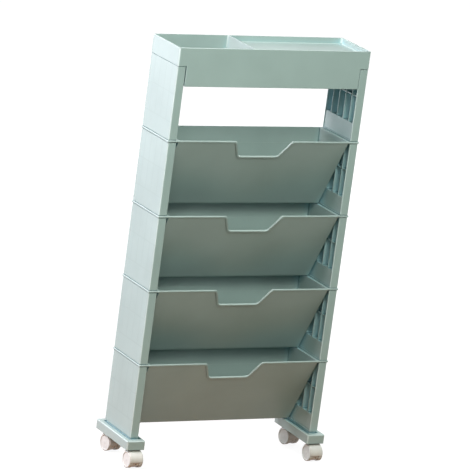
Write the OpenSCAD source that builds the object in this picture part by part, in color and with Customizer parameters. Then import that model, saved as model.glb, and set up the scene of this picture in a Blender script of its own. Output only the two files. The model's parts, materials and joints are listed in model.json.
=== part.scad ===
// Rolling bookcase: two columns of snap-together side panels carry tilted book pockets and a
// desk-top tray, and stand on two foot rails with twin-wheel swivel casters.
// Millimetres, +Z up, standing on z = 0. X runs across the front, and -Y is the front.

/* [Columns] */
// Width of the case over the outer skins of its two columns
case_w = 397; // [340:1:440]
// Depth of a column from front to back
case_d = 109; // [98:1:120]
// Height of one side panel
panel_h = 138.4; // [130:0.1:150]
// Width of a column seen from the front
panel_t = 17; // [15.5:0.5:20]
// Thickness of a panel's skin and of its end walls
skin_t = 2.2; // [1.8:0.1:2.8]
// Radius of a panel's outer upright edges
panel_edge_r = 2.4; // [1:0.1:3.5]
// Radius of a panel's inner upright edges
panel_in_r = 1.8; // [0.6:0.1:2]
// Height of the shadow seam at a panel's two ends
seam_h = 1; // [0.6:0.1:1.6]
// Depth of the shadow seam
seam_in = 0.8; // [0.4:0.1:1.2]
// Height of the closed band along the foot of a panel
band_h = 34; // [26:1:42]
// Upright ribs inside a panel
rib_count = 4; // [2:1:5]
// Distance from one upright rib to the next
rib_pitch = 22.4; // [16:0.2:23]
// Thickness of the upright ribs and the cross rib
rib_t = 1.8; // [1.4:0.1:2.4]
// How far the ribs and the band stay back from the column's inner edge
rib_setback = 1.6; // [1:0.1:3]
// Height of the cross rib above the panel's bottom
cross_rib_z = 86; // [60:1:100]
// How far the cross rib stays back from the column's inner edge
cross_rib_setback = 3.4; // [2:0.1:6]

/* [Tenons] */
// Width of a locating tenon, across the column
tenon_w = 8; // [6:0.5:9]
// Length of a locating tenon, front to back
tenon_l = 20; // [14:1:24]
// Distance of the tenons from the middle of the column
tenon_y = 33.6; // [26:0.2:36]
// Clearance round a tenon in its slot
tenon_gap = 0.3; // [0.2:0.05:0.5]
// How far a tenon's tip stands past the wall that it locks
tenon_tip = 1.5; // [1:0.1:2.5]
// Wall of a hollow tenon and of the tray's sockets
tenon_wall = 1.7; // [1.4:0.1:2]

/* [Pockets] */
// Thickness of the rim plate that lies between two panels
rim_t = 3.6; // [3:0.1:4.6]
// Overhang of the rim past the column's outer side
rim_side = 1.5; // [1:0.5:4]
// Overhang of the rim past the column's front and back
rim_end = 1.5; // [1:0.5:4]
// Rounding of the rim's edge
rim_edge_r = 1.2; // [0.6:0.1:1.4]
// Radius of the rim's plan corners
rim_corner_r = 2.5; // [1:0.1:4]
// Wall thickness of a pocket
pocket_wall = 2.4; // [2:0.1:3]
// Depth of the flat floor of a pocket, front to back
pocket_floor = 29.5; // [22:0.5:40]
// Inside radius of the two bends of the pocket's floor
pocket_bend_r = 5; // [3:0.5:7]
// Gap between a pocket's end wall and the column beside it
pocket_side_gap = 4.1; // [1:0.1:5]
// Gap between a pocket's floor and the rim below it
pocket_low_gap = 1; // [0.6:0.1:2]

/* [Finger notch] */
// Width of the notch at the rim
notch_top_w = 118; // [90:1:150]
// Width of the notch at its foot
notch_low_w = 82; // [60:1:110]
// Depth of the notch down the sloping front
notch_depth = 35; // [24:1:46]
// Radius of the two lower corners of the notch
notch_low_r = 9; // [4:0.5:12]
// Radius of the two upper corners of the notch
notch_top_r = 11; // [4:0.5:14]
// Width of the bead round the notch
bead_w = 3.4; // [2:0.1:5]
// How far the bead stands out of the sloping front
bead_out = 1.3; // [0.6:0.1:2]

/* [Tray] */
// Height of the tray's skirt above the columns
tray_h = 34; // [28:1:44]
// Overhang of the skirt past the column's outer side
tray_side = 0.5; // [0.3:0.1:3]
// Overhang of the skirt past the column's front and back
tray_end = 0.7; // [0.3:0.1:3]
// Wall thickness of the tray
tray_wall = 2.4; // [2:0.1:3]
// Radius of the skirt's upright corners
tray_corner_r = 3.2; // [1.5:0.1:5]
// Rounding of the skirt's upper edge
tray_edge_r = 1; // [0.5:0.1:1.1]
// Rounding of the skirt's lower edge
tray_low_r = 0.4; // [0.2:0.1:0.6]
// Rounding of the aprons' ends and lower edges
apron_edge_r = 0.8; // [0.4:0.1:1.1]
// How far the aprons reach down below the skirt
apron_drop = 38; // [30:1:50]
// Gap between an apron's end and the column beside it
apron_gap = 0.8; // [0.4:0.1:2]
// Length of the deep bin, from the left column to the dividing wall
bin_l = 136.5; // [90:0.5:200]
// Height of the bin's floor above the aprons' lower edge
bin_floor_up = 4; // [3:0.5:10]
// Depth of the shallow shelf below the rim
shelf_drop = 12; // [8:1:18]
// Inside corner radius of the bin and the shelf
tray_in_r = 5; // [3:0.5:8]
// Ribs under the shelf
shelf_ribs = 3; // [1:1:5]
// Depth of the ribs under the shelf
shelf_rib_h = 9; // [5:1:14]

/* [Foot rails] */
// Height of a foot rail
foot_h = 17.5; // [16:0.5:22]
// How far a foot rail reaches past the column's outer side
foot_out = 10.5; // [8:0.5:18]
// How far a foot rail reaches past the column's inner edge
foot_in = 9.7; // [9:0.1:12]
// How far a foot rail reaches past the column's front and back
foot_end = 12.5; // [10:0.5:22]
// Wall thickness of a foot rail
foot_wall = 2.6; // [2.2:0.1:3.2]
// Radius of a foot rail's plan corners
foot_corner_r = 3.5; // [2:0.5:6]
// Rounding of a foot rail's upper edge
foot_edge_r = 2.2; // [1:0.1:3]
// Height of the plinth that the column stands on, above the rail's top
plinth_h = 2; // [1:0.5:4]
// Inset of the plinth under the column
plinth_inset = 2; // [0.5:0.1:2.4]
// Depth of the channel round the plinth
channel_depth = 3; // [1:0.1:3.4]
// Width of the channel on the column's inner side
channel_in = 6.4; // [2:0.1:6.6]
// Width of the channel on the column's other sides
channel_out = 1.6; // [1:0.1:3.5]

/* [Casters] */
// Height of the foot rails' underside above the floor
caster_h = 35; // [34.6:0.2:38]
// Diameter of a wheel
wheel_d = 31.5; // [29:0.5:32]
// Width of a caster over the outer faces of its two wheels
caster_w = 28; // [27:0.2:30]
// Width of one wheel
wheel_w = 7.7; // [6:0.1:7.8]
// Distance of the wheels' axle from the swivel axis
caster_trail = 11; // [9.5:0.5:12.5]
// Distance of a caster's stem from the end of the foot rail
stem_inset = 18; // [14:1:26]
// Diameter of the stem
stem_d = 7; // [6:0.1:7.4]
// How far the stem goes up into the foot rail
stem_up = 12.6; // [10:0.1:13.6]
// Diameter of the stem's flange
flange_d = 19; // [17:0.5:24]
// Thickness of the stem's flange
flange_t = 1.9; // [1.4:0.1:2]
// Diameter of the axle
axle_d = 4; // [3:0.1:4.4]
// Thickness of the hood over the wheels
hood_t = 1.15; // [1:0.05:1.3]
// Thickness of the web between the wheels
web_t = 2.6; // [2:0.1:4]
// How far the hood reaches down past the axle's centre
hood_low = 1.5; // [0:0.5:4]
// Thickness of the hood's wall between the wheels
core_t = 1.6; // [1.4:0.1:2.4]
// How far that wall stays inside the wheels' treads
core_inset = 0.8; // [0.5:0.1:2]
// Height of that wall's lower edge above the floor
core_low = 3; // [2:0.5:6]
// Diameter of the hood's stem housing
housing_d = 11.4; // [10.8:0.1:11.8]
// Turn of the casters at rest: front left, front right, rear left, rear right
caster_turn = [0, 0, 8, 10]; // [0:1:359]

/* [Hidden] */
$fn = 64;
rows = 5;
rim_rows = rows - 1;
corner_steps = 4;
cut = 1;
run_gap = 0.3;
shaft_gap = 0.05;
press_gap = 0.02;

sage = [0.58, 0.68, 0.63];
sage_light = [0.63, 0.72, 0.68];
cream = [0.90, 0.89, 0.86];
steel = [0.62, 0.63, 0.65];
dark_steel = [0.20, 0.21, 0.22];

column_out = case_w / 2;
column_in = column_out - panel_t;
column_x = column_out - panel_t / 2;
column_end = case_d / 2;
pitch = panel_h + rim_t;
tenon_h = rim_t + skin_t + tenon_tip;

foot_top = caster_h + foot_h;
base_z = foot_top + plinth_h;
tray_z = base_z + rim_rows * pitch + panel_h;

pocket_w = 2 * (column_in - pocket_side_gap);
pocket_h = pitch - pocket_low_gap;
front_run = case_d - pocket_floor;
front_fall = pocket_h - rim_t;
front_tilt = atan2(front_run, front_fall);
front_wall = pocket_wall / cos(front_tilt);
notch_rise = (rim_t + bead_out * sin(front_tilt)) / cos(front_tilt) + 0.2;

tray_w = case_w + 2 * tray_side;
tray_d = case_d + 2 * tray_end;
apron_w = 2 * (column_in - apron_gap);
bin_x0 = -apron_w / 2 + tray_wall;
bin_x1 = -column_in + bin_l;
bin_z = bin_floor_up - apron_drop;
ledge_z = tenon_h + tenon_gap + tray_wall;
shelf_z = tray_h - shelf_drop;
shelf_x0 = bin_x1 + tray_wall;
shelf_x1 = tray_w / 2 - tray_wall;

foot_w = foot_in + panel_t + foot_out;
foot_d = case_d + 2 * foot_end;
foot_x = column_in - foot_in + foot_w / 2;
channel_z = foot_top - channel_depth;
foot_roof_z = channel_z - foot_wall;

wheel_r = wheel_d / 2;
stem_r = stem_d / 2;
stem_y = foot_d / 2 - stem_inset;
hood_in_r = wheel_r + run_gap;
hood_r = hood_in_r + hood_t;
hood_top = caster_h - flange_t - run_gap;
wheel_x1 = caster_w / 2;
wheel_x0 = wheel_x1 - wheel_w;
hub_gap = 0.4;
stem_low = wheel_r + axle_d / 2 + 1;
boss_r = stem_r + 4.4;

// The casters trail forwards past the foot rails, so the case stands a little behind the
// middle of the whole outline
case_y = (stem_y + caster_trail + hood_r - foot_d / 2) / 2;

CASTERS = ["front_left", "front_right", "rear_left", "rear_right"];

function unit(v) = v / norm(v);

// Points of the arc that rounds corner p, whose sides leave along u and v
function corner_arc(p, u, v, r) =
    let (
        half = acos(u * v) / 2,
        c = p + unit(u + v) * r / sin(half),
        a = p + u * r / tan(half) - c,
        b = p + v * r / tan(half) - c,
        start = atan2(a.y, a.x),
        turn = atan2(cross(a, b), a * b)
    )
    [for (i = [0 : corner_steps]) c + r * [cos(start + turn * i / corner_steps),
                                           sin(start + turn * i / corner_steps)]];

// Outline with corner i rounded by radii[i], where 0 keeps it sharp
function rounded(points, radii) = [
    for (i = [0 : len(points) - 1])
        let (
            n = len(points),
            u = unit(points[(i + n - 1) % n] - points[i]),
            v = unit(points[(i + 1) % n] - points[i])
        )
        each (radii[i] == 0 ? [points[i]] : corner_arc(points[i], u, v, radii[i]))
];

function rectangle(x0, x1, y0, y1) = [[x0, y0], [x1, y0], [x1, y1], [x0, y1]];

// Stands a drawing of the Y-Z plane up and extrudes it along X, centred
module along_x(length) {
    rotate([90, 0, 90]) linear_extrude(length, center = true) children();
}

// Stands a drawing of the X-Z plane up and extrudes it along Y, centred
module along_y(length) {
    rotate([90, 0, 0]) linear_extrude(length, center = true) children();
}

module box(x0, x1, y0, y1, z0, z1) {
    translate([x0, y0, z0]) cube([x1 - x0, y1 - y0, z1 - z0]);
}

// Block on z = 0 with rounded plan corners, upper edges and lower edges
module block(w, d, h, corner_r, top_r, low_r) {
    edges = [low_r, low_r, top_r, top_r];
    intersection() {
        linear_extrude(h)
            polygon(rounded(rectangle(-w / 2, w / 2, -d / 2, d / 2), [for (i = [0 : 3]) corner_r]));
        along_x(w + cut) polygon(rounded(rectangle(-d / 2, d / 2, 0, h), edges));
        along_y(d + cut) polygon(rounded(rectangle(-w / 2, w / 2, 0, h), edges));
    }
}

module block_between(x0, x1, d, z0, z1, corner_r, top_r, low_r) {
    translate([(x0 + x1) / 2, 0, z0]) block(x1 - x0, d, z1 - z0, corner_r, top_r, low_r);
}

// side is -1 for the left column and 1 for the right one
module on_side(side) {
    mirror([side < 0 ? 1 : 0, 0, 0]) children();
}

module at_tenons() {
    for (y = [-tenon_y, tenon_y]) translate([column_x, y, 0]) children();
}

// Tenon with a chamfered tip, rising h above z = 0
module tenon(h) {
    chamfer = 1;
    l = tenon_l / 2;
    along_x(tenon_w)
        polygon([
            [-l, -cut], [l, -cut], [l, h - chamfer], [l - chamfer, h], [chamfer - l, h], [-l, h - chamfer]
        ]);
}

module tenon_core(h) {
    w = tenon_w - 2 * tenon_wall;
    l = tenon_l - 2 * tenon_wall;
    translate([-w / 2, -l / 2, -skin_t - cut]) cube([w, l, h - tenon_wall + skin_t + cut]);
}

module tenon_slot(z0, z1) {
    w = tenon_w + 2 * tenon_gap;
    l = tenon_l + 2 * tenon_gap;
    translate([-w / 2, -l / 2, z0]) cube([w, l, z1 - z0]);
}

module column_plan(inset) {
    polygon(rounded(
        rectangle(column_in + inset, column_out - inset, inset - column_end, column_end - inset),
        [panel_in_r, panel_edge_r, panel_edge_r, panel_in_r]
    ));
}

// One moulded side panel: a box open to the inside of the case, with upright ribs, a cross rib
// and a closed band along its foot
module side_panel(side, row) {
    rib_x0 = column_in + rib_setback;
    rib_x1 = column_out - skin_t / 2;
    inner_end = column_end - skin_t;
    color(sage_light) translate([0, case_y, base_z + (row - 1) * pitch]) on_side(side) difference() {
        union() {
            difference() {
                union() {
                    linear_extrude(panel_h) column_plan(seam_in);
                    translate([0, 0, seam_h]) linear_extrude(panel_h - 2 * seam_h) column_plan(0);
                }
                box(column_in - cut, column_out - skin_t, -inner_end, inner_end, band_h, panel_h - skin_t);
                box(rib_x0 + skin_t, column_out - skin_t, -inner_end, inner_end, skin_t, band_h - skin_t);
                box(column_in - cut, rib_x0, -inner_end, inner_end, skin_t, band_h + cut);
            }
            for (i = [0 : rib_count - 1])
                translate([0, (i - (rib_count - 1) / 2) * rib_pitch, 0])
                    box(rib_x0, rib_x1, -rib_t / 2, rib_t / 2, band_h - cut, panel_h - cut);
            box(column_in + cross_rib_setback, rib_x1, cut - column_end, column_end - cut,
                cross_rib_z - rib_t, cross_rib_z);
            translate([0, 0, panel_h]) at_tenons() tenon(tenon_h);
        }
        translate([0, 0, panel_h]) at_tenons() tenon_core(tenon_h);
        at_tenons() tenon_slot(-cut, skin_t + cut);
    }
}

// Carries a drawing on the pocket's sloping front: X stays, Y runs up the slope, Z points out
module on_front() {
    translate([0, -column_end, -rim_t]) rotate([90 + front_tilt, 0, 0]) children();
}

// Outline of the finger notch, grown outwards by grow
function notch_outline(grow) =
    let (
        top = notch_top_w / 2,
        low = notch_low_w / 2,
        lean = (top - low) / (notch_rise + notch_depth),
        side = grow * sqrt(1 + lean * lean),
        flare = top + 1.6 * notch_top_r,
        over = notch_rise + 2 * rim_t
    )
    rounded(
        [[-flare, over], [-flare, notch_rise - grow],
         [grow * lean - top - side, notch_rise - grow],
         [grow * lean - low - side, -notch_depth - grow], [low + side - grow * lean, -notch_depth - grow],
         [top + side - grow * lean, notch_rise - grow],
         [flare, notch_rise - grow], [flare, over]],
        [0, 0, notch_top_r - grow, notch_low_r + grow, notch_low_r + grow, notch_top_r - grow, 0, 0]
    );

module notch_bead() {
    intersection() {
        on_front() translate([0, 0, -pocket_wall]) linear_extrude(pocket_wall + bead_out) difference() {
            polygon(notch_outline(bead_w));
            polygon(notch_outline(0));
        }
        box(-notch_top_w, notch_top_w, -column_end - rim_end + rim_edge_r / 2, 0,
            -pocket_h, -rim_edge_r / 2);
    }
}

// One moulded pocket, with the top of its rim on z = 0: a trough whose front slopes down and
// back, and a rim whose end plates lie between the panels of the columns
module trough() {
    difference() {
        union() {
            block_between(-column_out - rim_side, column_out + rim_side, case_d + 2 * rim_end,
                          -rim_t, 0, rim_corner_r, rim_edge_r, rim_edge_r);
            along_x(pocket_w) polygon(rounded(
                [[-column_end, -rim_edge_r], [-column_end, -rim_t], [column_end - pocket_floor, -pocket_h],
                 [column_end, -pocket_h], [column_end, -rim_edge_r]],
                [0, 0, pocket_bend_r, pocket_bend_r + pocket_wall, 0]
            ));
            notch_bead();
        }
        along_x(pocket_w - 2 * pocket_wall) polygon(rounded(
            [[-column_end + front_wall - (rim_t + cut) * tan(front_tilt), cut],
             [column_end - pocket_floor + front_wall - pocket_wall * tan(front_tilt),
              pocket_wall - pocket_h],
             [column_end - pocket_wall, pocket_wall - pocket_h], [column_end - pocket_wall, cut]],
            [0, pocket_bend_r - 1, pocket_bend_r, 0]
        ));
        on_front() translate([0, 0, -4 * pocket_wall]) linear_extrude(8 * pocket_wall)
            polygon(notch_outline(0));
        for (side = [-1, 1]) on_side(side) at_tenons() tenon_slot(-rim_t - cut, cut);
    }
}

module pocket(tier) {
    color(sage) translate([0, case_y, base_z + tier * pitch]) trough();
}

// Tray with its seat on the columns at z = 0: a skirt, two aprons between the columns, a deep
// bin on the left and a shallow shelf on the right
module tray_shell() {
    in_d = tray_d - 2 * tray_wall;
    in_x = tray_w / 2 - tray_wall;
    top = tray_h + tray_in_r;
    bin_low_r = 3;
    ledge_low_r = 1;
    shelf_low_r = 2;
    difference() {
        union() {
            block(tray_w, tray_d, tray_h, tray_corner_r, tray_edge_r, tray_low_r);
            block_between(-apron_w / 2, apron_w / 2, tray_d, -apron_drop, tray_h / 2,
                          apron_edge_r, 0, apron_edge_r);
        }
        block_between(bin_x0, bin_x1, in_d, bin_z, top, tray_in_r, 0, bin_low_r);
        block_between(-in_x, bin_x1, in_d, ledge_z, top, bin_low_r, 0, ledge_low_r);
        block_between(shelf_x0, shelf_x1, in_d, shelf_z, top, tray_in_r, 0, shelf_low_r);
        box(-apron_w / 2 - cut, bin_x1 + tray_wall, -in_d / 2, in_d / 2,
            -apron_drop - cut, bin_z - tray_wall);
        box(bin_x1 + tray_wall, in_x, -in_d / 2, in_d / 2, -apron_drop - cut, shelf_z - tray_wall);
        box(-in_x, -apron_w / 2, -in_d / 2, in_d / 2, -cut, ledge_z - tray_wall);
    }
}

// Sockets for the top panel's tenons, joined to the skirt
module tray_socket(side, roof) {
    x0 = -tenon_w / 2 - tenon_gap - tenon_wall;
    x1 = tray_w / 2 - tray_wall / 2 - column_x;
    l = tenon_l + 2 * (tenon_gap + tenon_wall);
    on_side(side) at_tenons() difference() {
        box(x0, x1, -l / 2, l / 2, 0, roof);
        tenon_slot(-cut, tenon_h + tenon_gap);
    }
}

module tray() {
    in_d = tray_d - tray_wall;
    rib_step = (column_in - shelf_x0) / (shelf_ribs + 1);
    color(sage) translate([0, case_y, tray_z]) {
        tray_shell();
        tray_socket(-1, ledge_z - tray_wall / 2);
        tray_socket(1, shelf_z - tray_wall / 2);
        for (i = [1 : shelf_ribs])
            translate([shelf_x0 + i * rib_step, 0, 0])
                box(-rib_t / 2, rib_t / 2, -in_d / 2, in_d / 2,
                    shelf_z - tray_wall - shelf_rib_h, shelf_z - tray_wall / 2);
    }
}

module at_stems() {
    for (y = [-stem_y, stem_y]) translate([foot_x, y, 0]) children();
}

// Foot rail: hollow from below, with a plinth for the column in a channel, and two stem bosses
module foot(side) {
    in_w = foot_w - 2 * foot_wall;
    in_d = foot_d - 2 * foot_wall;
    low_r = 0.6;
    rib_z = caster_h + 2;
    color(sage) translate([0, case_y, 0]) on_side(side) {
        difference() {
            union() {
                difference() {
                    translate([foot_x, 0, caster_h])
                        block(foot_w, foot_d, foot_h, foot_corner_r, foot_edge_r, low_r);
                    box(column_in - channel_in, column_out + channel_out, -column_end - channel_out,
                        column_end + channel_out, channel_z, foot_top + cut);
                }
                translate([0, 0, channel_z - cut]) linear_extrude(base_z - channel_z + cut)
                    column_plan(plinth_inset);
                translate([0, 0, base_z]) at_tenons() tenon(tenon_h - rim_t);
            }
            difference() {
                translate([foot_x - in_w / 2, -in_d / 2, caster_h - cut])
                    cube([in_w, in_d, foot_roof_z - caster_h + cut]);
                at_stems() cylinder(r = boss_r, h = foot_top);
                for (y = [-tenon_y / 2, tenon_y / 2])
                    box(column_in - foot_in, column_out + foot_out, y - rib_t / 2, y + rib_t / 2,
                        rib_z, foot_top);
                box(foot_x - rib_t / 2, foot_x + rib_t / 2, -foot_d / 2, foot_d / 2, rib_z, foot_top);
            }
            at_stems() translate([0, 0, caster_h - cut])
                cylinder(r = stem_r + shaft_gap, h = stem_up + cut + run_gap);
        }
    }
}

// Moves a caster's pieces from the swivel axis on the floor to caster i
module at_caster(i) {
    x = i % 2 == 0 ? -foot_x : foot_x;
    y = i < 2 ? -stem_y : stem_y;
    translate([x, y + case_y, 0]) children();
}

// Turns the swivelling pieces of caster i to its stand at rest
module swivelled(i) {
    at_caster(i) rotate([0, 0, caster_turn[i]]) children();
}

// Lays a solid drawn round Z onto the wheels' axle, its +Z end to the right
module on_axle() {
    translate([0, -caster_trail, wheel_r]) rotate([0, 90, 0]) children();
}

// Steel stem of caster i, pushed into the foot rail up to its flange
module stem(i) {
    groove = 0.5;
    groove_z0 = stem_low + 2;
    groove_z1 = groove_z0 + 1;
    edge = 0.4;
    tip = 1;
    flange_z = caster_h - flange_t;
    top = caster_h + stem_up;
    color(dark_steel) at_caster(i) rotate_extrude() polygon([
        [0, stem_low], [stem_r - groove, stem_low], [stem_r, stem_low + groove],
        [stem_r, groove_z0], [stem_r - groove, groove_z0], [stem_r - groove, groove_z1],
        [stem_r, groove_z1], [stem_r, flange_z],
        [flange_d / 2 - edge, flange_z], [flange_d / 2, flange_z + edge],
        [flange_d / 2, caster_h], [stem_r, caster_h], [stem_r, top - tip], [stem_r - tip, top], [0, top]
    ]);
}

// Ring round the axle, from radius r0 to r1 and half wide to each side
module ring(r0, r1, half) {
    rotate_extrude() translate([r0, -half]) square([r1 - r0, 2 * half]);
}

// Keeps what lies above height z of a caster's pieces
module above(z) {
    intersection() {
        children();
        translate([-caster_w, -caster_trail - 2 * hood_r, z]) cube([2 * caster_w, 4 * hood_r, 3 * hood_r]);
    }
}

// Hood: an arch over both wheels and, between them, a wall round the web and the axle boss, with
// the stem housing behind
module hood(i) {
    arch_w = caster_w / 2 - 1.3;
    core_w = wheel_x0 - hub_gap;
    core_r = wheel_r - core_inset;
    eye_d = 3;
    eye_depth = 1;
    eye_z = 9.5;
    eye_y = -caster_trail - sqrt(pow(core_r, 2) - pow(wheel_r - eye_z, 2));
    axle_boss_r = 4;
    housing_z = stem_low - 2;
    collar_h = 3;
    collar_d = housing_d + 2.6;
    color(cream) swivelled(i) difference() {
        union() {
            above(wheel_r - hood_low) on_axle() {
                rotate_extrude() polygon(rounded(
                    [[hood_in_r, -arch_w], [hood_r, -arch_w], [hood_r, arch_w], [hood_in_r, arch_w]],
                    [0, hood_t - 0.2, hood_t - 0.2, 0]
                ));
                ring(core_r - core_t, hood_in_r + hood_t / 2, core_w);
            }
            above(core_low) on_axle() {
                ring(core_r - core_t, core_r, core_w);
                ring(0, core_r - core_t / 2, web_t / 2);
                ring(0, axle_boss_r, core_w);
            }
            translate([0, 0, housing_z]) cylinder(d = housing_d, h = hood_top - housing_z);
            translate([0, 0, hood_top - collar_h]) cylinder(d1 = housing_d, d2 = collar_d, h = collar_h);
        }
        translate([0, 0, stem_low - run_gap]) cylinder(r = stem_r + shaft_gap, h = caster_h);
        translate([0, eye_y + eye_depth, eye_z]) rotate([90, 0, 0]) cylinder(d = eye_d, h = wheel_r);
        on_axle() cylinder(d = axle_d + 2 * press_gap, h = 2 * caster_w, center = true);
    }
}

module axle(i) {
    tip = 0.4;
    half = wheel_x1 - 1.8;
    color(steel) swivelled(i) on_axle() rotate_extrude() polygon([
        [0, -half], [axle_d / 2 - tip, -half], [axle_d / 2, tip - half],
        [axle_d / 2, half - tip], [axle_d / 2 - tip, half], [0, half]
    ]);
}

// Wheel on one end of the axle: a tread, a dished outer face, and a hub in a hollow back
module wheel(i, side) {
    tread = 2.2;
    face = 2.2;
    dish = 1;
    hub_r = axle_d / 2 + 2.4;
    bore_r = axle_d / 2 + shaft_gap;
    color(cream) swivelled(i) on_axle() mirror([0, 0, side < 0 ? 1 : 0]) rotate_extrude() polygon(rounded(
        [[0, wheel_x1 - 1.4], [bore_r, wheel_x1 - 1.4], [bore_r, wheel_x0], [hub_r, wheel_x0],
         [hub_r, wheel_x1 - face], [wheel_r - tread, wheel_x1 - face], [wheel_r - tread, wheel_x0],
         [wheel_r, wheel_x0], [wheel_r, wheel_x1], [wheel_r - tread, wheel_x1],
         [wheel_r - tread - dish, wheel_x1 - dish], [hub_r, wheel_x1 - dish], [0, wheel_x1 - dish / 2]],
        [0, 0, 0, 0, 0.8, 0.8, 0.4, 0.8, 1, 0.3, 0.3, 0, 0]
    ));
}

foot(-1);  // left_foot
foot(1);  // right_foot
for (i = [1 : rows]) {
    side_panel(-1, i);
    side_panel(1, i);
}
for (i = [1 : rim_rows])
    pocket(i);
tray();
for (i = [0 : 3]) {
    stem(i);
    hood(i);
    axle(i);
    wheel(i, -1);
    wheel(i, 1);
}
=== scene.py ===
import json
import math

import bpy
from mathutils import Matrix, Vector


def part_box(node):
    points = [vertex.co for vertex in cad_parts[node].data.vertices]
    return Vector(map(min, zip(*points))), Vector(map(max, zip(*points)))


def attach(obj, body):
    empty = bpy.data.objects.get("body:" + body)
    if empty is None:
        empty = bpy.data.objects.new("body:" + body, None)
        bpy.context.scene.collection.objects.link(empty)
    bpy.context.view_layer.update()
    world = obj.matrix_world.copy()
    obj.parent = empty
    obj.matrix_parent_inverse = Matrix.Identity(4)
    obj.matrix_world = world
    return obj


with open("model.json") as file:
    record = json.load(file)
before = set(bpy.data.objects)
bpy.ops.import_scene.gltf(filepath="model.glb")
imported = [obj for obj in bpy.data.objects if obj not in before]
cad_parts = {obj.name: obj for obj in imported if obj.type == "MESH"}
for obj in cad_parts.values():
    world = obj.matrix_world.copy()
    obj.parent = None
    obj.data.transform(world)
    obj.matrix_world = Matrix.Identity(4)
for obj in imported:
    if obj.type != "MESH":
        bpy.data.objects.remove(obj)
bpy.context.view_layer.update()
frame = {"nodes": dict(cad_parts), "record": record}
print("frame loaded:", len(frame["nodes"]), "parts")

mm = 0.001
caseMiddle = (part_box("left_panel_1")[0].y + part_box("left_panel_1")[1].y) / 2


# small helpers for node trees

def addNode(tree, kind, values=None, **settings):
    node = tree.nodes.new(kind)
    for name, value in settings.items():
        setattr(node, name, value)
    for name, value in (values or {}).items():
        node.inputs[name].default_value = value
    return node


def join(tree, *pairs):
    for start, end in pairs:
        tree.links.new(start, end)


def newMaterial(name):
    material = bpy.data.materials.new(name)
    material.use_nodes = True
    tree = material.node_tree
    return material, tree, tree.nodes["Principled BSDF"]


def mathStep(tree, operation, first, second=None, third=None):
    # one Math node, whose inputs are sockets or numbers
    node = addNode(tree, "ShaderNodeMath", operation=operation)
    for slot, value in enumerate((first, second, third)):
        if value is None:
            continue
        if isinstance(value, (int, float)):
            node.inputs[slot].default_value = value
        else:
            tree.links.new(value, node.inputs[slot])
    return node.outputs[0]


def apart(tree, vector):
    # the vector's X, Y and Z
    node = addNode(tree, "ShaderNodeSeparateXYZ")
    tree.links.new(vector, node.inputs[0])
    return node.outputs


def ramp(tree, value, fromLow, fromHigh, toLow, toHigh, smooth=False):
    ends = {1: fromLow, 2: fromHigh, 3: toLow, 4: toHigh}
    kind = "SMOOTHSTEP" if smooth else "LINEAR"
    node = addNode(tree, "ShaderNodeMapRange", ends, interpolation_type=kind)
    tree.links.new(value, node.inputs[0])
    return node.outputs[0]


noiseSpread = (0.3, 0.7)  # nearly all of a noise pattern's values lie between these


def noise(tree, place, size, detail=2.0, roughness=0.5):
    values = {"Scale": 1 / size, "Detail": detail, "Roughness": roughness}
    node = addNode(tree, "ShaderNodeTexNoise", values)
    tree.links.new(place, node.inputs["Vector"])
    return node.outputs["Fac"]


def blendColour(tree, share, first, second):
    node = addNode(tree, "ShaderNodeMix", data_type="RGBA")
    for slot, value in ((6, first), (7, second)):
        if isinstance(value, tuple):
            node.inputs[slot].default_value = (*value, 1)
        else:
            tree.links.new(value, node.inputs[slot])
    tree.links.new(share, node.inputs[0])
    return node.outputs[2]


def relief(tree, height, depth, normal=None, sunk=False):
    node = addNode(tree, "ShaderNodeBump", {"Strength": 1.0, "Distance": depth}, invert=sunk)
    tree.links.new(height, node.inputs["Height"])
    if normal is not None:
        tree.links.new(normal, node.inputs["Normal"])
    return node.outputs[0]


# moulded plastics

casePlastic = {
    "colour": (0.336, 0.430, 0.410),  # pale blue-green
    "edgeHighlightColour": (0.52, 0.62, 0.60),  # painted highlight: moulded edges, mostly those facing up, are painted paler where they would catch light
    "toneSpread": 0.05,  # how much the mint drifts from place to place
    "toneSize": 90 * mm,
    "grainSize": 0.55 * mm,  # the mould's fine spark grain
    "grainDepth": 0.012 * mm,
    "waveSize": 26 * mm,  # slow unevenness of large thin walls
    "waveDepth": 0.10 * mm,
    "roughness": (0.40, 0.52),
    "polishSize": 18 * mm,
    "edgeRadius": 0.7 * mm,
    "edgeHighlightShare": 0.85,
    "gapReach": 3.0 * mm,  # painted shade: seams and inner corners narrower than this are painted darker
    "gapShadeColour": (0.070, 0.145, 0.150),
    "deepReach": 28 * mm,  # painted bounce light: bays between walls are painted bluer, for the light that goes to and fro in them
    "bayBounceColour": (0.34, 0.555, 0.595),
}
casterPlastic = {
    "colour": (0.67, 0.67, 0.635),  # warm white
    # painted highlight: rounded edges are painted paler
    "edgeHighlightColour": (0.82, 0.82, 0.79),
    "toneSpread": 0.03,
    "toneSize": 12 * mm,
    "grainSize": 0.3 * mm,
    "grainDepth": 0.004 * mm,
    "waveSize": 6 * mm,
    "waveDepth": 0.02 * mm,
    "roughness": (0.28, 0.38),
    "polishSize": 5 * mm,
    "edgeRadius": 0.35 * mm,
    "edgeHighlightShare": 0.5,
    # painted shade: gaps, and the wheels near the floor, are painted a warm brown, and deep bays
    # warmer and darker
    "gapReach": 6.0 * mm,
    "gapShadeColour": (0.25, 0.18, 0.12),
    "deepReach": 12 * mm,
    "bayBounceColour": (0.62, 0.56, 0.49),
}
wheelPlastic = dict(casterPlastic, colour=(0.665, 0.71, 0.69), roughness=(0.34, 0.46))

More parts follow.
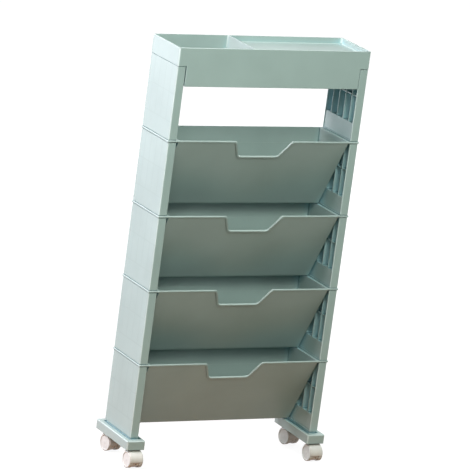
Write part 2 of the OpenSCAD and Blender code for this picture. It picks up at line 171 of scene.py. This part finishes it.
mouldedFinish = {  # what all the moulded plastics share
    "edgeFacing": (0.995, 0.80),  # where the painted edge highlight grows: rounded normal along the true one, flat face to full edge
    "edgeSamples": 6,
    "gapOpenness": (0.30, 0.90),  # painted shade, from full in a shut seam to none on an open face
    # painted bounce light in deep bays fades from its full share to none between these
    "deepOpenness": (0.30, 0.68),
    "bayBounceShare": 0.95,
    "opennessSamples": 8,
    "sunkTone": 0.90,  # sink marks are a little darker
    "sunkShare": 0.55,
    "sunkDepth": 0.05 * mm,
}
caseFaces = {  # the way the case's faces look, which tells its rounded edges, where a highlight is painted, from flat ones
    "flat": 0.985,  # the largest part of a flat face's normal is at least this
    "round": 0.94,  # and that of a full edge at most this
    "downward": (-0.45, -0.1),  # the painted edge highlight fades out on edges that look down, between these
    "slopeUp": 0.5,  # the inner side of a pocket's slope looks up and to the back
    "slopeSpread": 0.06,
    "slopeBack": 0.8,
}


def roundedEdgeHighlight(tree, trueNormal, share):
    # painted highlight on the case's rounded edges that face up: the flat faces lie square to the
    # axes or slope like the pockets; edges face between
    size = addNode(tree, "ShaderNodeVectorMath", operation="ABSOLUTE")
    tree.links.new(trueNormal, size.inputs[0])
    sizes, facing = apart(tree, size.outputs[0]), apart(tree, trueNormal)
    most = mathStep(tree, "MAXIMUM", mathStep(tree, "MAXIMUM", sizes["X"], sizes["Y"]), sizes["Z"])
    edgeHighlight = ramp(tree, most, caseFaces["flat"], caseFaces["round"], 0.0, 1.0)
    upward = ramp(tree, facing["Z"], *caseFaces["downward"], 0.0, share)

    leansUp = mathStep(tree, "COMPARE", facing["Z"], caseFaces["slopeUp"], caseFaces["slopeSpread"])
    looksBack = mathStep(tree, "GREATER_THAN", facing["Y"], caseFaces["slopeBack"])
    elsewhere = mathStep(tree, "SUBTRACT", 1.0, mathStep(tree, "MULTIPLY", leansUp, looksBack))
    return mathStep(tree, "MULTIPLY", mathStep(tree, "MULTIPLY", edgeHighlight, upward), elsewhere)


def openness(tree, reach):
    # how much of the surroundings within reach is open, from 0 to 1
    samples = mouldedFinish["opennessSamples"]
    node = addNode(tree, "ShaderNodeAmbientOcclusion", {"Distance": reach}, samples=samples)
    return node.outputs["AO"]


def mouldedPlastic(name, look, marks=None, flatSided=False):
    material, tree, shader = newMaterial(name)
    place = addNode(tree, "ShaderNodeTexCoord").outputs["Object"]
    trueNormal = addNode(tree, "ShaderNodeNewGeometry").outputs["Normal"]
    rounded = addNode(tree, "ShaderNodeBevel", {"Radius": look["edgeRadius"]},
                      samples=mouldedFinish["edgeSamples"]).outputs[0]

    # painted highlight on edges, where the rounded normal leaves the true one
    facing = addNode(tree, "ShaderNodeVectorMath", operation="DOT_PRODUCT")
    join(tree, (rounded, facing.inputs[0]), (trueNormal, facing.inputs[1]))
    edgeHighlight = ramp(tree, facing.outputs["Value"], *mouldedFinish["edgeFacing"],
                0.0, look["edgeHighlightShare"], smooth=True)
    if flatSided:
        edgeHighlight = mathStep(tree, "MAXIMUM", edgeHighlight, roundedEdgeHighlight(tree, trueNormal, look["edgeHighlightShare"]))

    # painted shade in seams and inner corners, where little of the near surroundings is open, and
    # painted bounce light in deep bays
    gapShade = ramp(tree, openness(tree, look["gapReach"]), *mouldedFinish["gapOpenness"], 1.0, 0.0)
    bayBounce = ramp(tree, openness(tree, look["deepReach"]), *mouldedFinish["deepOpenness"],
                mouldedFinish["bayBounceShare"], 0.0)

    tone = ramp(tree, noise(tree, place, look["toneSize"], detail=3.0), *noiseSpread, 0.0, 1.0)
    low, high = (tuple(c * (1 + s * look["toneSpread"]) for c in look["colour"]) for s in (-1, 1))
    # random tone, then painted bounce light in deep bays
    colour = blendColour(tree, bayBounce, blendColour(tree, tone, low, high), look["bayBounceColour"])
    if marks:
        sunk = marks(tree, place, trueNormal)
        sunkColour = tuple(c * mouldedFinish["sunkTone"] for c in look["colour"])
        sunkShare = mathStep(tree, "MULTIPLY", sunk, mouldedFinish["sunkShare"])
        colour = blendColour(tree, sunkShare, colour, sunkColour)
    # the painted edge highlight goes on
    colour = blendColour(tree, edgeHighlight, colour, look["edgeHighlightColour"])
    # then the painted shade in seams, inner corners and gaps
    colour = blendColour(tree, gapShade, colour, look["gapShadeColour"])

    polish = noise(tree, place, look["polishSize"], detail=4.0, roughness=0.6)
    dullness = ramp(tree, polish, *noiseSpread, *look["roughness"])

    wave = noise(tree, place, look["waveSize"], detail=1.0)
    grain = noise(tree, place, look["grainSize"], detail=2.0, roughness=0.6)
    normal = relief(tree, wave, look["waveDepth"], rounded)
    normal = relief(tree, grain, look["grainDepth"], normal)
    if marks:
        normal = relief(tree, sunk, mouldedFinish["sunkDepth"], normal, sunk=True)
    join(tree, (colour, shader.inputs["Base Color"]), (dullness, shader.inputs["Roughness"]),
         (normal, shader.inputs["Normal"]))
    return material


# sink marks: on a panel's outer skin the plastic draws in a little over each rib

panelRibs = {
    "ribPitch": 22.4 * mm,
    "bays": 5,
    "bandHeight": 34 * mm,  # top of the closed band
    "crossHeight": 86 * mm,  # top of the cross rib
    "markWidth": 2.2 * mm,
    "skinFrom": 0.9,  # of the way from the middle out to a panel's inner side
}


def sinkMarks(tree, place, trueNormal):
    lowest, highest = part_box("left_panel_1")
    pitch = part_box("left_panel_2")[0].z - lowest.z
    width, ribPitch = panelRibs["markWidth"], panelRibs["ribPitch"]
    at, facing = apart(tree, place), apart(tree, trueNormal)

    across = mathStep(tree, "DIVIDE", mathStep(tree, "SUBTRACT", at["Y"], caseMiddle), ribPitch)
    fromRib = mathStep(tree, "PINGPONG", mathStep(tree, "ADD", across, 0.5), 0.5)
    ribMark = ramp(tree, fromRib, 0.0, width / ribPitch, 1.0, 0.0, smooth=True)

    height = mathStep(tree, "MODULO", mathStep(tree, "SUBTRACT", at["Z"], lowest.z), pitch)
    aboveBand = mathStep(tree, "GREATER_THAN", height, panelRibs["bandHeight"])
    marks = mathStep(tree, "MULTIPLY", ribMark, aboveBand)
    for name in ("bandHeight", "crossHeight"):
        away = mathStep(tree, "ABSOLUTE", mathStep(tree, "SUBTRACT", height, panelRibs[name]))
        levelMark = ramp(tree, away, 0.0, width, 1.0, 0.0, smooth=True)
        marks = mathStep(tree, "MAXIMUM", marks, levelMark)

    outward = mathStep(tree, "MULTIPLY", at["X"], facing["X"])
    skin = mathStep(tree, "GREATER_THAN", outward, panelRibs["skinFrom"] * abs(highest.x))
    return mathStep(tree, "MULTIPLY", marks, skin)


# metals

axleSteel = {"colour": (0.56, 0.57, 0.59), "roughness": (0.24, 0.40), "streak": 0.25 * mm}
stemSteel = {"colour": (0.10, 0.105, 0.11), "roughness": (0.32, 0.50), "streak": 0.4 * mm}
steelFinish = {  # what both share
    "squeeze": (1, 1, 6),  # the streaks run round the bar
    "cloudSize": 6 * mm,
    "cloudTone": 0.8,
    "streakDepth": 0.01 * mm,
}


def turnedSteel(name, look):
    material, tree, shader = newMaterial(name)
    shader.inputs["Metallic"].default_value = 1.0
    place = addNode(tree, "ShaderNodeTexCoord").outputs["Object"]
    drawn = addNode(tree, "ShaderNodeMapping", {"Scale": steelFinish["squeeze"]})
    tree.links.new(place, drawn.inputs["Vector"])
    streaks = noise(tree, drawn.outputs[0], look["streak"], detail=3.0, roughness=0.6)
    cloud = noise(tree, place, steelFinish["cloudSize"])
    cloudColour = tuple(steelFinish["cloudTone"] * c for c in look["colour"])
    colour = blendColour(tree, cloud, look["colour"], cloudColour)
    join(tree, (colour, shader.inputs["Base Color"]),
         (ramp(tree, streaks, *noiseSpread, *look["roughness"]), shader.inputs["Roughness"]),
         (relief(tree, streaks, steelFinish["streakDepth"]), shader.inputs["Normal"]))
    return material


finishes = {
    "case_plastic": mouldedPlastic("mintPlastic", casePlastic, flatSided=True),
    "caster_plastic": mouldedPlastic("creamPlastic", casterPlastic),
    "wheel_plastic": mouldedPlastic("creamNylon", wheelPlastic),
    "axle_steel": turnedSteel("axleSteel", axleSteel),
    "stem_steel": turnedSteel("stemSteel", stemSteel),
}
panelPlastic = mouldedPlastic("mintPanelPlastic", casePlastic, sinkMarks, flatSided=True)
print("finishes made:", len(bpy.data.materials))


def dress(piece, material):
    piece.data.materials.clear()
    piece.data.materials.append(material)


for entry in frame["record"]["subparts"]:
    node = frame["nodes"][entry["node"]]
    slotName = entry["material_slot"]
    dress(node, panelPlastic if "_panel_" in node.name else finishes[slotName])
print("parts dressed")


# moulding details, grown by geometry nodes

def newTree(name, **inputs):
    tree = bpy.data.node_groups.new(name, "GeometryNodeTree")
    tree.interface.new_socket("Geometry", in_out="INPUT", socket_type="NodeSocketGeometry")
    for label, kind in inputs.items():
        tree.interface.new_socket(label, in_out="INPUT", socket_type=kind)
    tree.interface.new_socket("Geometry", in_out="OUTPUT", socket_type="NodeSocketGeometry")
    return tree, addNode(tree, "NodeGroupInput").outputs, addNode(tree, "NodeGroupOutput").inputs


def readPoints(tree, name, kind):
    # a value stored on the points that the tree starts from
    node = addNode(tree, "GeometryNodeInputNamedAttribute", {"Name": name}, data_type=kind)
    return node.outputs[0]


def roundLine(tree, curve, radius, steps):
    # a fine round line along the curve
    line = addNode(tree, "GeometryNodeCurvePrimitiveCircle", {"Resolution": steps})
    tube = addNode(tree, "GeometryNodeCurveToMesh")
    join(tree, (radius, line.inputs["Radius"]), (curve, tube.inputs["Curve"]),
         (line.outputs[0], tube.inputs["Profile Curve"]))
    return tube.outputs[0]


def finishTree(tree, geometry, material, out):
    # the last steps of every tree
    solid = addNode(tree, "GeometryNodeRealizeInstances")
    smooth = addNode(tree, "GeometryNodeSetShadeSmooth")
    coat = addNode(tree, "GeometryNodeSetMaterial")
    join(tree, (geometry, solid.inputs[0]), (solid.outputs[0], smooth.inputs["Geometry"]),
         (smooth.outputs[0], coat.inputs["Geometry"]), (material, coat.inputs["Material"]),
         (coat.outputs[0], out[0]))


def grow(name, mesh, tree, values, body="case"):
    # runs the tree on the mesh and keeps the result as a plain piece
    seed = bpy.data.objects.new(name + "_seed", mesh)
    bpy.context.scene.collection.objects.link(seed)
    modifier = seed.modifiers.new("grow", "NODES")
    modifier.node_group = tree
    for item in tree.interface.items_tree:
        if item.in_out == "INPUT" and item.name in values:
            modifier[item.identifier] = values[item.name]
    grown = seed.evaluated_get(bpy.context.evaluated_depsgraph_get())
    piece = bpy.data.objects.new(name, bpy.data.meshes.new_from_object(grown))
    seed.modifiers.remove(modifier)
    bpy.data.objects.remove(seed)
    bpy.context.scene.collection.objects.link(piece)
    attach(piece, body)
    print(name, "grown:", len(piece.data.polygons), "faces")


# rings left by the ejector pins on the sides that face the mould's core

pinMarks = {
    "pinRadius": 2.6 * mm,
    "lineRadius": 0.13 * mm,
    "ringSteps": 20,
    "lineSteps": 6,
    "skin": 2.2 * mm,  # a panel's skin
    "panelRows": (58 * mm, 112 * mm),  # heights above the panel's bottom
    "wall": 2.4 * mm,  # a pocket's wall
    "rimOverhang": 1.5 * mm,
    "pocketColumns": 7,
    "pocketPitch": 52 * mm,
    "pocketRows": (38 * mm, 104 * mm),  # heights above the pocket's floor
    "footRoof": 11.9 * mm,  # the hollow's roof above the rail's underside
    "footSides": (-8 * mm, 8 * mm),
    "footColumns": 4,
    "footPitch": 25 * mm,
    "shelfUnderside": 14.4 * mm,  # below the tray's rim
    "shelfColumns": (-16 * mm, 47 * mm, 103 * mm, 158 * mm),
    "shelfRows": (-28 * mm, 28 * mm),
}


def spaced(count, pitch):
    # offsets of a row of marks from its middle
    return [(i - (count - 1) / 2) * pitch for i in range(count)]


def panelMarks():
    for side, inward in (("left", 1), ("right", -1)):
        for row in range(1, 6):
            lowest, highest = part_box(f"{side}_panel_{row}")
            outerX = lowest.x if side == "left" else highest.x
            x = outerX + inward * pinMarks["skin"]
            for y in spaced(panelRibs["bays"], panelRibs["ribPitch"]):
                for height in pinMarks["panelRows"]:
                    yield (x, caseMiddle + y, lowest.z + height), (inward, 0, 0)


def pocketMarks():
    for tier in range(1, 5):
        lowest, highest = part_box(f"pocket_{tier}")
        y = highest.y - pinMarks["rimOverhang"] - pinMarks["wall"]
        for x in spaced(pinMarks["pocketColumns"], pinMarks["pocketPitch"]):
            for height in pinMarks["pocketRows"]:
                yield (x, y, lowest.z + height), (0, -1, 0)


def footAndTrayMarks():
    for side in ("left_foot", "right_foot"):
        lowest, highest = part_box(side)
        middle = (lowest + highest) / 2
        for x in pinMarks["footSides"]:
            for y in spaced(pinMarks["footColumns"], pinMarks["footPitch"]):
                yield (middle.x + x, middle.y + y, lowest.z + pinMarks["footRoof"]), (0, 0, -1)
    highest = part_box("tray")[1]
    for x in pinMarks["shelfColumns"]:
        for y in pinMarks["shelfRows"]:
            yield (x, caseMiddle + y, highest.z - pinMarks["shelfUnderside"]), (0, 0, -1)


def makePinMarks():
    spots = [*panelMarks(), *pocketMarks(), *footAndTrayMarks()]
    mesh = bpy.data.meshes.new("pin_spots")
    mesh.from_pydata([place for place, facing in spots], [], [])
    facings = mesh.attributes.new("facing", "FLOAT_VECTOR", "POINT")
    for spot, (place, facing) in zip(facings.data, spots):
        spot.vector = facing

    tree, given, out = newTree("pinMarkTree", PinRadius="NodeSocketFloat",
                               LineRadius="NodeSocketFloat", Material="NodeSocketMaterial")
    ring = addNode(tree, "GeometryNodeCurvePrimitiveCircle", {"Resolution": pinMarks["ringSteps"]})
    mark = roundLine(tree, ring.outputs[0], given["LineRadius"], pinMarks["lineSteps"])
    turn = addNode(tree, "FunctionNodeAlignRotationToVector", axis="Z")
    copies = addNode(tree, "GeometryNodeInstanceOnPoints")
    join(tree, (given["PinRadius"], ring.inputs["Radius"]),
         (readPoints(tree, "facing", "FLOAT_VECTOR"), turn.inputs["Vector"]),
         (given["Geometry"], copies.inputs["Points"]), (mark, copies.inputs["Instance"]),
         (turn.outputs[0], copies.inputs["Rotation"]))
    finishTree(tree, copies.outputs[0], given["Material"], out)
    values = {"PinRadius": pinMarks["pinRadius"], "LineRadius": pinMarks["lineRadius"],
              "Material": finishes["case_plastic"]}
    grow("pin_marks", mesh, tree, values)


# the fine line that the two halves of a mould leave round each rim, rail and skirt

partingLine = {
    "lineRadius": 0.11 * mm,
    "lineSteps": 6,
    "cornerSteps": 6,
    "rimCorner": 2.5 * mm,
    "railCorner": 3.5 * mm,
    "skirtCorner": 3.2 * mm,
    "rimDepth": 1.8 * mm,  # below the top of a pocket's rim
    "railHeight": 0.6 * mm,  # above the underside of a foot rail
    "skirtDepth": 1.0 * mm,  # below the top of the tray
}


def rectangle(x0, y0, x1, y1, z):
    # the corners of a level rectangle, in order
    return [(x0, y0, z), (x1, y0, z), (x1, y1, z), (x0, y1, z)]


def partingLoops():
    for tier in range(1, 5):
        lowest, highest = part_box(f"pocket_{tier}")
        yield lowest, highest, highest.z - partingLine["rimDepth"], partingLine["rimCorner"]
    for side in ("left_foot", "right_foot"):
        lowest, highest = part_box(side)
        yield lowest, highest, lowest.z + partingLine["railHeight"], partingLine["railCorner"]
    lowest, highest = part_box("tray")
    yield lowest, highest, highest.z - partingLine["skirtDepth"], partingLine["skirtCorner"]


def makePartingLines():
    points, edges, corners = [], [], []
    for lowest, highest, z, corner in partingLoops():
        first = len(points)
        points += rectangle(lowest.x, lowest.y, highest.x, highest.y, z)
        edges += [(first + i, first + (i + 1) % 4) for i in range(4)]
        corners += [corner] * 4
    mesh = bpy.data.meshes.new("parting_path")
    mesh.from_pydata(points, edges, [])
    mesh.attributes.new("corner", "FLOAT", "POINT").data.foreach_set("value", corners)

    tree, given, out = newTree("partingLineTree", LineRadius="NodeSocketFloat",
                               Material="NodeSocketMaterial")
    path = addNode(tree, "GeometryNodeMeshToCurve")
    bend = addNode(tree, "GeometryNodeFilletCurve", {"Count": partingLine["cornerSteps"]},
                   mode="POLY")
    join(tree, (given["Geometry"], path.inputs[0]), (path.outputs[0], bend.inputs["Curve"]),
         (readPoints(tree, "corner", "FLOAT"), bend.inputs["Radius"]))
    line = roundLine(tree, bend.outputs[0], given["LineRadius"], partingLine["lineSteps"])
    finishTree(tree, line, given["Material"], out)
    values = {"LineRadius": partingLine["lineRadius"], "Material": finishes["case_plastic"]}
    grow("parting_lines", mesh, tree, values)


makePinMarks()
makePartingLines()


# floor, light and camera

floorLook = {
    "reach": 40.0,
    "seen": (1.0, 1.0, 1.0),  # what the camera sees, with the shadows
    "shadowShare": 0.15,
    "shine": (0.905, 1.0),  # near the object and far away
    "shineReach": (0.5, 1.8),
    "nearBounce": (0.28, 0.12, 0.03),  # what the object's undersides see close by
    "farBounce": (0.10, 0.14, 0.10),
    "nearReach": (0.2, 1.0),
}


def seenDirectly(tree):
    # 1 for what the camera sees, in a gloss or through glass too
    path = addNode(tree, "ShaderNodeLightPath").outputs
    second = mathStep(tree, "MAXIMUM", path["Is Glossy Ray"], path["Is Transmission Ray"])
    return mathStep(tree, "MAXIMUM", path["Is Camera Ray"], second)


def makeFloor():
    reach, share = floorLook["reach"], floorLook["shadowShare"]
    mesh = bpy.data.meshes.new("floor")
    mesh.from_pydata(rectangle(-reach, -reach, reach, reach, 0), [], [(0, 1, 2, 3)])
    floor = bpy.data.objects.new("floor", mesh)
    bpy.context.scene.collection.objects.link(floor)
    material, tree, shader = newMaterial("paleFloor")
    tree.nodes.remove(shader)
    place = addNode(tree, "ShaderNodeTexCoord").outputs["Object"]
    away = addNode(tree, "ShaderNodeVectorMath", operation="LENGTH")
    tree.links.new(place, away.inputs[0])

    # to the camera it glows, and takes a little light so that the object's shadow shows
    strength = ramp(tree, away.outputs["Value"], *floorLook["shineReach"], *floorLook["shine"])
    shine = addNode(tree, "ShaderNodeEmission", {"Color": (*floorLook["seen"], 1)})
    lit = addNode(tree, "ShaderNodeBsdfDiffuse", {"Color": (share, share, share, 1)})
    both = addNode(tree, "ShaderNodeAddShader")
    join(tree, (strength, shine.inputs["Strength"]), (shine.outputs[0], both.inputs[0]),
         (lit.outputs[0], both.inputs[1]))

    # to the object it is a plain surface that sends light back
    far = ramp(tree, away.outputs["Value"], *floorLook["nearReach"], 0.0, 1.0, smooth=True)
    colour = blendColour(tree, far, floorLook["nearBounce"], floorLook["farBounce"])
    bounce = addNode(tree, "ShaderNodeBsdfDiffuse")
    pick = addNode(tree, "ShaderNodeMixShader")
    join(tree, (colour, bounce.inputs["Color"]), (seenDirectly(tree), pick.inputs[0]),
         (bounce.outputs[0], pick.inputs[1]), (both.outputs[0], pick.inputs[2]),
         (pick.outputs[0], tree.nodes["Material Output"].inputs["Surface"]))
    mesh.materials.append(material)


skyLook = {"colour": (0.72, 0.95, 1.0), "strength": 0.12, "seen": (1.0, 1.0, 1.0)}


def makeSky():
    world = bpy.data.worlds.new("studio")
    bpy.context.scene.world = world
    world.use_nodes = True
    tree = world.node_tree
    background = tree.nodes["Background"]
    seen = seenDirectly(tree)
    colour = blendColour(tree, seen, skyLook["colour"], skyLook["seen"])
    strength = ramp(tree, seen, 0.0, 1.0, skyLook["strength"], 1.0)
    join(tree, (colour, background.inputs["Color"]), (strength, background.inputs["Strength"]))


lamps = {
    "windowLeft": dict(place=(-1.7, 0.1, 1.7), size=0.9, watts=59, colour=(1.0, 0.872, 0.925)),
    "windowBack": dict(place=(-2.6, 2.8, 0.8), size=1.4, watts=63, colour=(0.85, 0.88, 1.0)),
    "frontLeft": dict(place=(-1.7, -2.3, 1.7), size=1.2, watts=13, colour=(0.965, 1.0, 0.99)),
    "frontHigh": dict(place=(-0.1, -1.9, 2.3), size=1.2, watts=28, colour=(0.93, 1.0, 0.89)),
    "frontClose": dict(place=(-0.3, -1.2, 1.9), size=0.7, watts=11, colour=(0.95, 1.0, 0.95)),
    "frontRight": dict(place=(1.8, -2.6, 1.4), size=1.6, watts=5, colour=(1.0, 1.0, 0.97)),
    "backRight": dict(place=(2.7, 1.7, 1.3), size=1.6, watts=70, colour=(1.0, 1.0, 1.0)),
}
lampAim = Vector((0, 0, 0.42))


def addLamp(name, look):
    data = bpy.data.lights.new(name, "AREA")
    data.shape = "DISK"
    data.size, data.energy, data.color = look["size"], look["watts"], look["colour"]
    lamp = bpy.data.objects.new(name, data)
    lamp.location = look["place"]
    lamp.rotation_euler = (lampAim - lamp.location).to_track_quat("-Z", "Y").to_euler()
    bpy.context.scene.collection.objects.link(lamp)


cameraLook = {
    "place": (-3.3496, -5.9312, 2.1738),
    "heading": 29.3979,  # degrees to the right of straight ahead
    "pitch": -14.3721,
    "roll": 7.6329,
    "lens": 290.421,
    "sensor": 36.0,
    "farEnd": 200,
}


def addCamera():
    data = bpy.data.cameras.new("camera")
    data.sensor_width, data.lens = cameraLook["sensor"], cameraLook["lens"]
    data.clip_end = cameraLook["farEnd"]
    heading, pitch, roll = (math.radians(cameraLook[k]) for k in ("heading", "pitch", "roll"))
    level = math.cos(pitch)
    ahead = Vector((math.sin(heading) * level, math.cos(heading) * level, math.sin(pitch)))
    turn = ahead.to_track_quat("-Z", "Y").to_matrix() @ Matrix.Rotation(roll, 3, "Z")
    camera = bpy.data.objects.new("camera", data)
    camera.matrix_world = Matrix.Translation(cameraLook["place"]) @ turn.to_4x4()
    bpy.context.scene.collection.objects.link(camera)
    bpy.context.scene.camera = camera


makeFloor()
makeSky()
for lampName, lampLook in lamps.items():
    addLamp(lampName, lampLook)
addCamera()
bpy.context.scene.view_settings.view_transform = "Standard"
print("studio and camera set")
